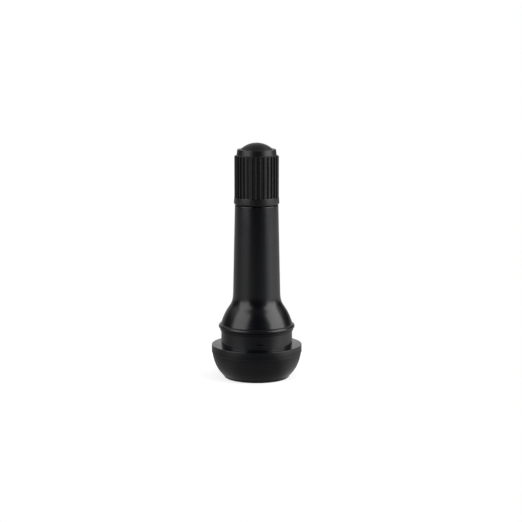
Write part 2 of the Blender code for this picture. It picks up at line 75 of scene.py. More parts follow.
def addCamera():
    pitch = math.radians(shot["pitchDeg"])
    back = shot["distance"] * math.cos(pitch)
    up = shot["lookHeight"] + shot["distance"] * math.sin(pitch)
    bpy.ops.object.camera_add(
        location=(shot["sideways"] * mm, -back * mm, up * mm),
        rotation=(math.pi / 2 - pitch, 0, 0),
    )
    camera = bpy.context.object
    camera.name = "photoCamera"
    camera.data.sensor_width = shot["sensorWidth"]
    camera.data.lens = shot["sensorWidth"] * shot["focalPixels"] / shot["imagePixels"]
    camera.data.clip_start = 0.01
    camera.data.clip_end = 20
    bpy.context.scene.camera = camera
    print("camera set")


# Lamps: degrees from the camera's side, with right positive, and up from the floor

softBoxes = {
    "leftSoftBox": {
        "azimuth": -61, "rise": 30, "distance": 1000, "width": 890, "tall": 870, "watts": 5.6,
    },
    "rightSoftBox": {
        "azimuth": 76, "rise": 30, "distance": 1000, "width": 930, "tall": 870, "watts": 8.2,
    },
}
lampAim = 25  # height that both point at


def addSoftBoxes():
    for name, box in softBoxes.items():
        turnBy, rise = math.radians(box["azimuth"]), math.radians(box["rise"])
        toward = Vector((
            math.sin(turnBy) * math.cos(rise),
            -math.cos(turnBy) * math.cos(rise),
            math.sin(rise),
        ))
        place = toward * box["distance"] * mm
        aim = Vector((0, 0, lampAim * mm)) - place
        bpy.ops.object.light_add(
            type="AREA", location=place, rotation=aim.to_track_quat("-Z", "Y").to_euler()
        )
        lamp = bpy.context.object
        lamp.name = name
        lamp.data.shape = "RECTANGLE"
        lamp.data.size = box["width"] * mm
        lamp.data.size_y = box["tall"] * mm
        lamp.data.energy = box["watts"]
        lamp.visible_camera = False
    print("lamps set")


# Studio round the valve: white to the camera, with darker and paler stretches in its reflections.
# A glow lists (degrees from the camera's side, brightness). A reach has a start and an end.

room = {
    "ambient": 0.5,
    "glowPeak": 1.7,
    "floorGlow": [
        (-180, 0.4), (-130, 0.44), (-106, 0.37), (-88, 0.4), (-65, 0.66), (-50, 0.68), (-41, 0.5),
        (-25, 0.28), (0, 0.19), (25, 0.26), (42, 0.4), (60, 1.1), (74, 1.5), (90, 1.2),
        (115, 0.75), (135, 0.5), (180, 0.4),
    ],
    "lowGlow": [
        (-180, 0.88), (-150, 0.4), (-125, 0.05), (-100, 0.08), (-37, 0.1), (-28, 0), (15, 0),
        (35, 0.1), (50, 0.3), (90, 0.25), (110, 0.06), (145, 0.04), (165, 0.55), (180, 0.88),
    ],
    "highGlow": [
        (-180, 0.4), (-140, 0.4), (-110, 0.8), (-85, 0.6), (-40, 0.15), (-20, 0.02), (25, 0.02),
        (50, 0.2), (100, 0.7), (125, 0.7), (150, 0.4), (180, 0.4),
    ],
    "topGlow": 0.22,
    "highReach": (0.26, 0.64),  # sines of the heights where one glow blends into the next
    "topReach": (0.77, 0.97),
    "floorSize": 4000,
    "floorGap": 0.01,
    "floorColour": (0.6, 0.6, 0.6, 1),
    "floorLift": 0.62,  # own light, which keeps only a pale shadow
    # Painted shade: close to the valve the floor's glow seen in reflections falls to farShare of
    # itself plus nearGlow, in place of the valve's shadow on the floor
    "nearGlow": 0.16,
    "nearReach": (14, 30),
    "farShare": 0.3,
    "farReach": (18, 60),
    "shadowReach": (14, 45),  # the floor turns plain white over this
}


def addNode(tree, kind, x, y, **values):
    node = tree.nodes.new(kind)
    node.location = (x, y)
    for key, value in values.items():
        setattr(node, key, value)
    return node


def link(tree, start, end):
    tree.links.new(start, end)


def newGroup(name, inputs, outputs):
    group = bpy.data.node_groups.new(name, "ShaderNodeTree")
    for label, kind, value in inputs:
        socket = group.interface.new_socket(label, in_out="INPUT", socket_type=kind)
        if value is not None:
            socket.default_value = value
    for label, kind in outputs:
        group.interface.new_socket(label, in_out="OUTPUT", socket_type=kind)
    source = addNode(group, "NodeGroupInput", -900, 0)
    target = addNode(group, "NodeGroupOutput", 900, 0)
    return group, source, target


# Brightness by compass direction at three heights, for the floor and the world
def makeRoomGlow():
    group, source, target = newGroup("roomGlow", [("Vector", "NodeSocketVector", None)], [
        ("Floor", "NodeSocketFloat"), ("Low", "NodeSocketFloat"), ("High", "NodeSocketFloat"),
    ])
    split = addNode(group, "ShaderNodeSeparateXYZ", -700, 0)
    link(group, source.outputs["Vector"], split.inputs[0])
    front = addNode(group, "ShaderNodeMath", -500, -100, operation="MULTIPLY")
    front.inputs[1].default_value = -1
    link(group, split.outputs["Y"], front.inputs[0])
    azimuth = addNode(group, "ShaderNodeMath", -300, 0, operation="ARCTAN2")
    link(group, split.outputs["X"], azimuth.inputs[0])
    link(group, front.outputs[0], azimuth.inputs[1])
    share = addNode(group, "ShaderNodeMapRange", -100, 0)
    share.inputs["From Min"].default_value = -math.pi
    share.inputs["From Max"].default_value = math.pi
    link(group, azimuth.outputs[0], share.inputs["Value"])
    rows = (("Floor", "floorGlow"), ("Low", "lowGlow"), ("High", "highGlow"))
    for row, (label, stops) in enumerate(rows):
        ramp = addNode(group, "ShaderNodeValToRGB", 100, 300 - 300 * row)
        points = ramp.color_ramp.elements
        for number, (degrees, level) in enumerate(room[stops]):
            point = points[number] if number < 2 else points.new((degrees + 180) / 360)
            point.position = (degrees + 180) / 360
            tone = level / room["glowPeak"]
            point.color = (tone, tone, tone, 1)
        link(group, share.outputs["Result"], ramp.inputs["Fac"])
        glow = addNode(group, "ShaderNodeMath", 450, 300 - 300 * row, operation="MULTIPLY")
        glow.inputs[1].default_value = room["glowPeak"]
        link(group, ramp.outputs["Color"], glow.inputs[0])
        link(group, glow.outputs[0], target.inputs[label])
    return group


def makeWorld():
    world = bpy.context.scene.world or bpy.data.worlds.new("studio")
    bpy.context.scene.world = world
    world.use_nodes = True
    tree = world.node_tree
    tree.nodes.clear()
    place = addNode(tree, "ShaderNodeTexCoord", -900, -200)
    glow = addNode(tree, "ShaderNodeGroup", -700, -200, node_tree=roomGlow)
    link(tree, place.outputs["Generated"], glow.inputs["Vector"])
    split = addNode(tree, "ShaderNodeSeparateXYZ", -700, -450)
    link(tree, place.outputs["Generated"], split.inputs[0])
    level = None
    for number, (low, high) in enumerate((room["highReach"], room["topReach"])):
        rise = addNode(
            tree, "ShaderNodeMapRange", -500, -450 - 250 * number, interpolation_type="SMOOTHSTEP",
        )
        rise.inputs["From Min"].default_value = low
        rise.inputs["From Max"].default_value = high
        link(tree, split.outputs["Z"], rise.inputs["Value"])
        blend = addNode(tree, "ShaderNodeMix", -300 + 200 * number, -200, data_type="FLOAT")
        link(tree, rise.outputs["Result"], blend.inputs["Factor"])
        link(tree, level.outputs["Result"] if level else glow.outputs["Low"], blend.inputs["A"])
        if level:
            blend.inputs["B"].default_value = room["topGlow"]
        else:
            link(tree, glow.outputs["High"], blend.inputs["B"])
        level = blend
    paths = addNode(tree, "ShaderNodeLightPath", -250, 400)
    ambient = addNode(tree, "ShaderNodeBackground", 0, 200)
    ambient.inputs["Strength"].default_value = room["ambient"]
    mirrored = addNode(tree, "ShaderNodeBackground", 0, 0)
    link(tree, level.outputs["Result"], mirrored.inputs["Strength"])
    white = addNode(tree, "ShaderNodeBackground", 0, -200)
    for node in (ambient, mirrored, white):
        node.inputs["Color"].default_value = (1, 1, 1, 1)
    glossy = addNode(tree, "ShaderNodeMixShader", 250, 100)
    link(tree, paths.outputs["Is Glossy Ray"], glossy.inputs["Fac"])
    link(tree, ambient.outputs[0], glossy.inputs[1])
    link(tree, mirrored.outputs[0], glossy.inputs[2])
    direct = addNode(tree, "ShaderNodeMath", 250, 400, operation="MAXIMUM")
    link(tree, paths.outputs["Is Camera Ray"], direct.inputs[0])
    link(tree, paths.outputs["Is Transmission Ray"], direct.inputs[1])
    seen = addNode(tree, "ShaderNodeMixShader", 450, 0)
    link(tree, direct.outputs[0], seen.inputs["Fac"])
    link(tree, glossy.outputs[0], seen.inputs[1])
    link(tree, white.outputs[0], seen.inputs[2])
    output = addNode(tree, "ShaderNodeOutputWorld", 700, 0)
    link(tree, seen.outputs[0], output.inputs["Surface"])
    print("world set")


def makeFloor():
    bpy.ops.object.select_all(action="DESELECT")
    bpy.ops.mesh.primitive_plane_add(
        size=room["floorSize"] * mm, location=(0, 0, -room["floorGap"] * mm),
    )
    floor = bpy.context.object
    floor.name = "paleFloor"
    material = bpy.data.materials.new("paleFloor")
    material.use_nodes = True
    tree = material.node_tree
    tree.nodes.clear()
    place = addNode(tree, "ShaderNodeTexCoord", -900, 0)
    glow = addNode(tree, "ShaderNodeGroup", -700, 0, node_tree=roomGlow)
    link(tree, place.outputs["Object"], glow.inputs["Vector"])
    # Painted light: to glossy rays the floor glows by itself, brighter towards the lamps, in place
    # of a floor lit by them
    mirrored = addNode(tree, "ShaderNodeEmission", -400, 0)
    reach = addNode(tree, "ShaderNodeVectorMath", -900, -300, operation="LENGTH")
    link(tree, place.outputs["Object"], reach.inputs[0])
    # Painted shade: these two rings dim the floor's reflected glow close to the valve, standing in
    # for its shadow
    nearby = addNode(tree, "ShaderNodeMapRange", -700, -200, interpolation_type="SMOOTHSTEP")
    faraway = addNode(tree, "ShaderNodeMapRange", -700, -450, interpolation_type="SMOOTHSTEP")
    for ring, reachOf, (atLow, atHigh) in (
        (nearby, "nearReach", (room["nearGlow"], 0)),
        (faraway, "farReach", (room["farShare"], 1)),
    ):
        ring.inputs["From Min"].default_value = room[reachOf][0] * mm
        ring.inputs["From Max"].default_value = room[reachOf][1] * mm
        ring.inputs["To Min"].default_value = atLow
        ring.inputs["To Max"].default_value = atHigh
        link(tree, reach.outputs["Value"], ring.inputs["Value"])
    level = addNode(tree, "ShaderNodeMath", -550, -50, operation="MULTIPLY_ADD")
    link(tree, glow.outputs["Floor"], level.inputs[0])
    link(tree, faraway.outputs["Result"], level.inputs[1])
    link(tree, nearby.outputs["Result"], level.inputs[2])
    link(tree, level.outputs[0], mirrored.inputs["Strength"])
    paper = addNode(tree, "ShaderNodeBsdfDiffuse", -400, 200)
    paper.inputs["Color"].default_value = room["floorColour"]
    lift = addNode(tree, "ShaderNodeEmission", -400, -200)
    lift.inputs["Strength"].default_value = room["floorLift"]
    near = addNode(tree, "ShaderNodeAddShader", -200, -100)
    link(tree, paper.outputs[0], near.inputs[0])
    link(tree, lift.outputs[0], near.inputs[1])
    far = addNode(tree, "ShaderNodeEmission", -200, -300)
    fade = addNode(tree, "ShaderNodeMapRange", -500, -400, interpolation_type="SMOOTHSTEP")
    fade.inputs["From Min"].default_value = room["shadowReach"][0] * mm
    fade.inputs["From Max"].default_value = room["shadowReach"][1] * mm
    link(tree, reach.outputs["Value"], fade.inputs["Value"])
    shown = addNode(tree, "ShaderNodeMixShader", 0, -200)
    link(tree, fade.outputs["Result"], shown.inputs["Fac"])
    link(tree, near.outputs[0], shown.inputs[1])
    link(tree, far.outputs[0], shown.inputs[2])
    paths = addNode(tree, "ShaderNodeLightPath", 0, 400)
    bounced = addNode(tree, "ShaderNodeMixShader", 250, 100)
    link(tree, paths.outputs["Is Glossy Ray"], bounced.inputs["Fac"])
    link(tree, paper.outputs[0], bounced.inputs[1])
    link(tree, mirrored.outputs[0], bounced.inputs[2])
    final = addNode(tree, "ShaderNodeMixShader", 450, 0)
    link(tree, paths.outputs["Is Camera Ray"], final.inputs["Fac"])
    link(tree, bounced.outputs[0], final.inputs[1])
    link(tree, shown.outputs[0], final.inputs[2])
    output = addNode(tree, "ShaderNodeOutputMaterial", 700, 0)
    side = addNode(tree, "ShaderNodeNewGeometry", 250, 500)  # clear from beneath, to show the foot
    beneath = addNode(tree, "ShaderNodeMixShader", 600, 200)
    clear = addNode(tree, "ShaderNodeBsdfTransparent", 450, -200)
    link(tree, side.outputs["Backfacing"], beneath.inputs["Fac"])
    link(tree, final.outputs[0], beneath.inputs[1])
    link(tree, clear.outputs[0], beneath.inputs[2])
    link(tree, beneath.outputs[0], output.inputs["Surface"])
    floor.data.materials.append(material)
    print("floor set")


# Finishes that several pieces share

finishOutputs = [
    ("Color", "NodeSocketColor"), ("Roughness", "NodeSocketFloat"), ("Height", "NodeSocketFloat"),
]


# Fine grain, slow waves and patches of gloss of a moulded surface
def makeMouldedGrain():
    group, source, target = newGroup(
        "mouldedGrain",
        [
            ("Grain Size", "NodeSocketFloat", 0.2),
            ("Wave Size", "NodeSocketFloat", 3.0),
            ("Roughness", "NodeSocketFloat", 0.4),
            ("Gloss Spread", "NodeSocketFloat", 0.06),
            ("Colour", "NodeSocketColor", (0.01, 0.01, 0.01, 1)),
            ("Bloom Colour", "NodeSocketColor", (0.02, 0.02, 0.02, 1)),
        ],
        finishOutputs,
    )
    place = addNode(group, "ShaderNodeTexCoord", -900, 300)
    fineScale = addNode(group, "ShaderNodeMath", -700, 200, operation="DIVIDE")
    fineScale.inputs[0].default_value = 1 / mm
    link(group, source.outputs["Grain Size"], fineScale.inputs[1])
    slowScale = addNode(group, "ShaderNodeMath", -700, 0, operation="DIVIDE")
    slowScale.inputs[0].default_value = 1 / mm
    link(group, source.outputs["Wave Size"], slowScale.inputs[1])
    fine = addNode(group, "ShaderNodeTexNoise", -500, 300)
    fine.inputs["Detail"].default_value = 3
    link(group, place.outputs["Object"], fine.inputs["Vector"])
    link(group, fineScale.outputs[0], fine.inputs["Scale"])
    slow = addNode(group, "ShaderNodeTexNoise", -500, 0)
    slow.inputs["Detail"].default_value = 2
    link(group, place.outputs["Object"], slow.inputs["Vector"])
    link(group, slowScale.outputs[0], slow.inputs["Scale"])
    height = addNode(group, "ShaderNodeMath", -250, 200, operation="MULTIPLY_ADD")
    height.inputs[1].default_value = 0.12
    link(group, fine.outputs["Fac"], height.inputs[0])
    link(group, slow.outputs["Fac"], height.inputs[2])
    link(group, height.outputs[0], target.inputs["Height"])
    centred = addNode(group, "ShaderNodeMath", -250, 0, operation="SUBTRACT")
    centred.inputs[1].default_value = 0.5
    link(group, slow.outputs["Fac"], centred.inputs[0])
    spread = addNode(group, "ShaderNodeMath", 0, 0, operation="MULTIPLY")
    link(group, centred.outputs[0], spread.inputs[0])
    link(group, source.outputs["Gloss Spread"], spread.inputs[1])
    rough = addNode(group, "ShaderNodeMath", 250, 0, operation="ADD")
    link(group, spread.outputs[0], rough.inputs[0])
    link(group, source.outputs["Roughness"], rough.inputs[1])
    link(group, rough.outputs[0], target.inputs["Roughness"])
    patch = addNode(group, "ShaderNodeMapRange", 0, -300)
    patch.inputs["From Min"].default_value = 0.5
    patch.inputs["From Max"].default_value = 0.8
    link(group, fine.outputs["Fac"], patch.inputs["Value"])
    tint = addNode(group, "ShaderNodeMix", 250, -300, data_type="RGBA")
    link(group, patch.outputs["Result"], tint.inputs["Factor"])
    link(group, source.outputs["Colour"], tint.inputs["A"])
    link(group, source.outputs["Bloom Colour"], tint.inputs["B"])
    link(group, tint.outputs["Result"], target.inputs["Color"])
    return group


# Fine rings left by the lathe, and a little tarnish
def makeTurnedMetal():
    group, source, target = newGroup(
        "turnedMetal",
        [
            ("Ring Pitch", "NodeSocketFloat", 0.06),
            ("Roughness", "NodeSocketFloat", 0.28),
            ("Colour", "NodeSocketColor", (0.72, 0.52, 0.2, 1)),
            ("Tarnish Colour", "NodeSocketColor", (0.4, 0.27, 0.1, 1)),
        ],
        finishOutputs,
    )
    place = addNode(group, "ShaderNodeTexCoord", -900, 300)
    stretch = addNode(group, "ShaderNodeMapping", -700, 300)
    stretch.inputs["Scale"].default_value = (30, 30, 1000)  # rings run round the axis
    link(group, place.outputs["Object"], stretch.inputs["Vector"])
    ringScale = addNode(group, "ShaderNodeMath", -700, 0, operation="DIVIDE")
    ringScale.inputs[0].default_value = 1
    link(group, source.outputs["Ring Pitch"], ringScale.inputs[1])
    rings = addNode(group, "ShaderNodeTexNoise", -500, 300)
    rings.inputs["Detail"].default_value = 2
    link(group, stretch.outputs["Vector"], rings.inputs["Vector"])
    link(group, ringScale.outputs[0], rings.inputs["Scale"])
    link(group, rings.outputs["Fac"], target.inputs["Height"])
    stain = addNode(group, "ShaderNodeTexNoise", -500, 0)
    stain.inputs["Scale"].default_value = 420
    stain.inputs["Detail"].default_value = 4
    link(group, place.outputs["Object"], stain.inputs["Vector"])
    mask = addNode(group, "ShaderNodeMapRange", -250, 0, interpolation_type="SMOOTHSTEP")
    mask.inputs["From Min"].default_value = 0.45
    mask.inputs["From Max"].default_value = 0.75
    link(group, stain.outputs["Fac"], mask.inputs["Value"])
    tint = addNode(group, "ShaderNodeMix", 0, 0, data_type="RGBA")
    link(group, mask.outputs["Result"], tint.inputs["Factor"])
    link(group, source.outputs["Colour"], tint.inputs["A"])
    link(group, source.outputs["Tarnish Colour"], tint.inputs["B"])
    link(group, tint.outputs["Result"], target.inputs["Color"])
    rough = addNode(group, "ShaderNodeMath", 0, -250, operation="MULTIPLY_ADD")
    rough.inputs[1].default_value = 0.18
    link(group, mask.outputs["Result"], rough.inputs[0])
    link(group, source.outputs["Roughness"], rough.inputs[2])
    link(group, rough.outputs[0], target.inputs["Roughness"])
    return group


def makeFinish(name, group, bumpDepth, metallic=0.0, **values):
    material = bpy.data.materials.new(name)
    material.use_nodes = True
    tree = material.node_tree
    shader = tree.nodes["Principled BSDF"]
    detail = addNode(tree, "ShaderNodeGroup", -500, 0, node_tree=group)
    for label, value in values.items():
        detail.inputs[label.replace("_", " ")].default_value = value
    bump = addNode(tree, "ShaderNodeBump", -250, -250)
    bump.inputs["Distance"].default_value = bumpDepth * mm
    link(tree, detail.outputs["Height"], bump.inputs["Height"])
    link(tree, detail.outputs["Color"], shader.inputs["Base Color"])
    link(tree, detail.outputs["Roughness"], shader.inputs["Roughness"])
    link(tree, bump.outputs["Normal"], shader.inputs["Normal"])
    shader.inputs["Metallic"].default_value = metallic
    return material


def makeFinishes():
    grain, turned = makeMouldedGrain(), makeTurnedMetal()
    return {
        "blackRubber": makeFinish(
            "blackRubber", grain, 0.007,
            Roughness=0.25, Gloss_Spread=0.1, Grain_Size=0.18, Wave_Size=2.6,
            Colour=(0.0012, 0.0015, 0.0028, 1), Bloom_Colour=(0.0026, 0.003, 0.0045, 1),
        ),
        "capPlastic": makeFinish(
            "capPlastic", grain, 0.004,
            Roughness=0.36, Gloss_Spread=0.06, Grain_Size=0.1, Wave_Size=1.8,
            Colour=(0.0018, 0.0018, 0.002, 1), Bloom_Colour=(0.0035, 0.0035, 0.0037, 1),
        ),
        "redGasket": makeFinish(
            "redGasket", grain, 0.015, Roughness=0.5, Gloss_Spread=0.1, Grain_Size=0.12,
            Wave_Size=0.9, Colour=(0.35, 0.03, 0.02, 1), Bloom_Colour=(0.42, 0.07, 0.05, 1),
        ),
        "blackSeal": makeFinish(
            "blackSeal", grain, 0.015, Roughness=0.55, Gloss_Spread=0.1, Grain_Size=0.12,
            Wave_Size=0.9, Colour=(0.012, 0.012, 0.012, 1), Bloom_Colour=(0.03, 0.03, 0.03, 1),
        ),
        "stemBrass": makeFinish("stemBrass", turned, 0.004, 1.0, Ring_Pitch=0.06, Roughness=0.26),
        "coreBrass": makeFinish(
            "coreBrass", turned, 0.003, 1.0, Ring_Pitch=0.04, Roughness=0.22,
            Colour=(0.76, 0.57, 0.26, 1),
        ),
        "springSteel": makeFinish(
            "springSteel", turned, 0.002, 1.0, Ring_Pitch=0.03, Roughness=0.22,
            Colour=(0.58, 0.58, 0.57, 1), Tarnish_Colour=(0.38, 0.37, 0.35, 1),
        ),
    }


# Modelling helpers

# A corner is (radius, height) or (radius, height, rounding)
def softCorners(corners, steps=5):
    points = []
    for number, corner in enumerate(corners):
        here = Vector(corner[:2])
        if len(corner) < 3:
            points.append(tuple(here))
            continue
        before = Vector(corners[number - 1][:2]) - here
        after = Vector(corners[(number + 1) % len(corners)][:2]) - here
        reach = min(corner[2], 0.49 * before.length, 0.49 * after.length)
        start, end = here + before.normalized() * reach, here + after.normalized() * reach
        for step in range(steps + 1):
            t = step / steps
            points.append(tuple(start * (1 - t) ** 2 + here * 2 * t * (1 - t) + end * t**2))
    return points


# Points of a curve up the profile, where an angle is how far the wall leans outwards
def curveUp(start, startDeg, startReach, end, endDeg, endReach, count):
    leanStart = Vector((math.sin(math.radians(startDeg)), math.cos(math.radians(startDeg)), 0))
    leanEnd = Vector((math.sin(math.radians(endDeg)), math.cos(math.radians(endDeg)), 0))
    first, last = Vector((*start, 0)), Vector((*end, 0))
    handles = first + leanStart * startReach, last - leanEnd * endReach
    curve = interpolate_bezier(first, *handles, last, count)
    return [(point.x, point.y) for point in curve]


# Starts from one vertex and extrudes it from point to point, in the XZ plane
def drawProfile(name, points, closed=True):
    bpy.ops.object.select_all(action="DESELECT")
    bpy.ops.mesh.primitive_plane_add(size=mm, location=(points[0][0] * mm, 0, points[0][1] * mm))
    piece = bpy.context.object
    piece.name = name
    bpy.ops.object.transform_apply(location=True, rotation=True, scale=True)
    bpy.ops.object.mode_set(mode="EDIT")
    bpy.ops.mesh.select_all(action="SELECT")
    bpy.ops.mesh.merge(type="CENTER")
    path = list(points) + ([points[0]] if closed else [])
    for last, point in zip(path, path[1:]):
        step = ((point[0] - last[0]) * mm, 0, (point[1] - last[1]) * mm)
        bpy.ops.mesh.extrude_region_move(TRANSFORM_OT_translate={"value": step})
    bpy.ops.mesh.select_all(action="SELECT")
    bpy.ops.mesh.remove_doubles(threshold=2e-7)
    return piece  # still in edit mode, with all of it selected


# Merges doubles and turns the faces outwards, then leaves edit mode
def closeUp():
    bpy.ops.mesh.select_all(action="SELECT")
    bpy.ops.mesh.remove_doubles(threshold=2e-7)
    bpy.ops.mesh.normals_make_consistent(inside=False)
    bpy.ops.object.mode_set(mode="OBJECT")


def turnPiece(name, corners, around, closed=True, steps=5):
    piece = drawProfile(name, softCorners(corners, steps), closed)
    bpy.ops.mesh.spin(steps=around, angle=2 * math.pi, center=(0, 0, 0), axis=(0, 0, 1))
    closeUp()
    return piece


def selectOnly(piece):
    bpy.ops.object.select_all(action="DESELECT")
    piece.select_set(True)
    bpy.context.view_layer.objects.active = piece


# Winds a closed section into a right-hand helix that rises from where it is drawn
def windHelix(name, section, pitch, turns, around):
    coil = drawProfile(name, section)
    bpy.ops.object.mode_set(mode="OBJECT")
    wind = coil.modifiers.new("wind", "SCREW")
    wind.axis = "Z"
    wind.screw_offset = pitch * mm
    wind.iterations = turns
    wind.steps = wind.render_steps = around
    wind.use_merge_vertices = True
    wind.merge_threshold = 1e-7
    bpy.ops.object.modifier_apply(modifier=wind.name)
    bpy.ops.object.mode_set(mode="EDIT")
    bpy.ops.mesh.select_all(action="SELECT")
    bpy.ops.mesh.remove_doubles(threshold=2e-7)
    bpy.ops.mesh.select_all(action="DESELECT")
    bpy.ops.mesh.select_mode(type="EDGE")
    bpy.ops.mesh.select_non_manifold()
    bpy.ops.mesh.fill_holes(sides=0)
    bpy.ops.mesh.select_mode(type="VERT")
    closeUp()
    return coil


def cutAway(piece, cutter):
    selectOnly(piece)
    cut = piece.modifiers.new("cut", "BOOLEAN")
    cut.operation = "DIFFERENCE"
    cut.solver = "EXACT"
    cut.object = cutter
    bpy.ops.object.modifier_apply(modifier=cut.name)
    bpy.data.objects.remove(cutter, do_unlink=True)


# Section of the groove of a thread, from its root to just past the crests
def threadSection(root, crest, rootWidth, flankDeg, height):
    past = crest + math.copysign(0.05, crest - root)
    half = rootWidth / 2 + math.tan(math.radians(flankDeg)) * abs(past - root)
    return [
        (root, height - rootWidth / 2), (root, height + rootWidth / 2),
        (past, height + half), (past, height - half),
    ]


def finishPiece(piece, finish, body, node, smoothDeg=32):
    selectOnly(piece)
    bpy.ops.object.transform_apply(location=True, rotation=True, scale=True)
    bpy.ops.object.shade_smooth_by_angle(angle=math.radians(smoothDeg))
    piece.data.materials.clear()
    piece.data.materials.append(finishes[finish])
    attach(piece, body)
    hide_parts(node)
    print("made", piece.name, "with", len(piece.data.polygons), "faces")


# Rubber body

rubber = {
    "around": 160,
    "footRadius": 7.15,
    "footHeight": 0.45,
    "footBevel": (0.16, 0.08, 0.14),  # insets of its bottom and middle, and the middle's height
    "bowlRadius": 7.28,
    "bowlSlopeDeg": 36,
    "flangeRadius": 9.735,
    "flangeTop": 7.15,
    "bowlTopRadius": 9.6,
    "flashHeight": 5.45,
    "flashThickness": 0.16,
    "flashWaver": 0.12,
    "footWaver": 0.16,
    "waverLength": 1.1,
    "seatRadius": 7.67,
    "seatTop": 10.2,
    "ledgeRadius": 7.88,
    "ledgeHeight": 10.3,
    "ledgeLean": 0.04,
    "ledgeTop": 10.72,
    "beadProud": 0.53,
    "beadEdgeLow": 10.96,
    "beadEdgeHigh": 11.36,
    "beadTop": 11.73,
    "flareFootRadius": 7.72,
    "flareSlopeDeg": -18,
    "flareTop": 18.6,
    "rootRadius": 5.08,
    "topRadius": 4.66,
    "topRounding": 0.2,
    "lipRadius": 3.74,
    "lipRise": 0.2,
    "boreRadius": 3.41,
    "anchorRadius": 4.31,
    "anchorBottom": 7.62,
    "anchorTall": 2.0,
    "anchorSlope": 0.8,
    "tailRadius": 2.80,
    "recessDepth": 1.6,
    "recessMouth": 5.15,
    "recessFloor": 3.4,
    "markPlace": (0.65, 8.45),
    "markSize": (1.25, 0.9, 0.26),  # a dash pressed in the rim seat
}


# Makes a trimmed or parted edge waver up and down
def waverRing(piece, innerRadius, lowest, highest, amount):
    chosen = []
    for vertex in piece.data.vertices:
        x, y, z = vertex.co / mm
        if math.hypot(x, y) > innerRadius and lowest < z < highest:
            chosen.append(vertex.index)
    ring = piece.vertex_groups.new(name="ring")
    ring.add(chosen, 1, "REPLACE")
    cloud = bpy.data.textures.new("edgeCloud", "CLOUDS")
    cloud.noise_scale = rubber["waverLength"] * mm
    selectOnly(piece)
    waver = piece.modifiers.new("waver", "DISPLACE")
    waver.texture = cloud
    waver.texture_coords = "GLOBAL"
    waver.direction = "Z"
    waver.strength = amount * mm
    waver.vertex_group = ring.name
    bpy.ops.object.modifier_apply(modifier=waver.name)
    piece.vertex_groups.clear()
    bpy.data.textures.remove(cloud)


def makeRubberBody():
    r = rubber
    top = highOf("rubber_body")
    beadRadius = r["seatRadius"] + r["beadProud"]
    flashLow = r["flashHeight"] - r["flashThickness"] / 2
    flashHigh = r["flashHeight"] + r["flashThickness"] / 2
    bowl = curveUp(
        (r["bowlRadius"], r["footHeight"]), r["bowlSlopeDeg"], 0.6,
        (r["bowlTopRadius"], flashLow - 0.12), 8, 3.2, 22,
    )
    flare = curveUp(
        (r["flareFootRadius"], r["beadTop"]), r["flareSlopeDeg"], 4.9,
        (r["rootRadius"], r["flareTop"]), -1.3, 3.6, 30,
    )
    anchorTop = r["anchorBottom"] + r["anchorTall"]
    bottomInset, middleInset, middleHeight = r["footBevel"]
    body = turnPiece("rubberBody", [
        (r["recessMouth"], 0, 0.2),
        (r["footRadius"] - bottomInset, 0, 0.05),
        (r["footRadius"] - middleInset, middleHeight, 0.05),
        (r["footRadius"], r["footHeight"], 0.03),
        *bowl,
        (r["bowlTopRadius"], flashLow),
        (r["flangeRadius"], flashHigh, 0.02),
        (r["flangeRadius"], r["flangeTop"], 0.13),
        (r["seatRadius"], r["flangeTop"], 0.06),
        (r["seatRadius"], r["seatTop"], 0.04),
        (r["ledgeRadius"], r["ledgeHeight"], 0.03),
        (r["ledgeRadius"] + r["ledgeLean"], r["ledgeTop"], 0.04),
        (beadRadius, r["beadEdgeLow"], 0.06),
        (beadRadius, r["beadEdgeHigh"], 0.2),
        (r["flareFootRadius"] + 0.2, r["beadTop"] - 0.08, 0.12),
        *flare,
        (r["topRadius"], top, r["topRounding"]),
        (r["lipRadius"], top, 0.05),
        (r["lipRadius"] - 0.06, top + r["lipRise"], 0.05),
        (r["boreRadius"], top + r["lipRise"]),
        (r["boreRadius"], anchorTop + r["anchorSlope"]),
        (r["anchorRadius"], anchorTop),
        (r["anchorRadius"], r["anchorBottom"] + r["anchorSlope"]),
        (r["tailRadius"], r["anchorBottom"]),
        (r["tailRadius"], r["recessDepth"]),
        (r["recessFloor"], r["recessDepth"], 0.2),
    ], r["around"])
    waverRing(body, r["bowlTopRadius"] - 0.05, flashLow - 0.02, flashHigh + 0.05, r["flashWaver"])
    waverRing(body, r["footRadius"] - 0.3, 0.1, r["footHeight"] + 0.05, r["footWaver"])
    bpy.ops.object.select_all(action="DESELECT")
    markX, markZ = r["markPlace"]
    markY = -math.sqrt(r["seatRadius"] ** 2 - markX**2)
    bpy.ops.mesh.primitive_cube_add(size=mm, location=(markX * mm, markY * mm, markZ * mm))
    mark = bpy.context.object
    bpy.ops.transform.resize(value=r["markSize"], center_override=mark.location)
    cutAway(body, mark)
    finishPiece(body, "blackRubber", "valve_body", "rubber_body")


# Brass stem

stem = {
    "around": 96,
    "tipRadius": 3.40,
    "tipChamfer": 0.45,
    "crestRadius": 3.85,
    "rootRadius": 3.36,
    "threadBottom": 37.68,
    "threadPitch": 0.79375,
    "anchorRadius": 4.26,
    "tailRadius": 2.75,
    "airBore": 1.85,
    "seatBottom": 38.6,
    "seatTop": 41.1,
    "seatRadius": 2.35,
    "chamberRadius": 2.58,
    "chamberThreadRoot": 2.80,
    "coreThreadPitch": 0.70556,
}


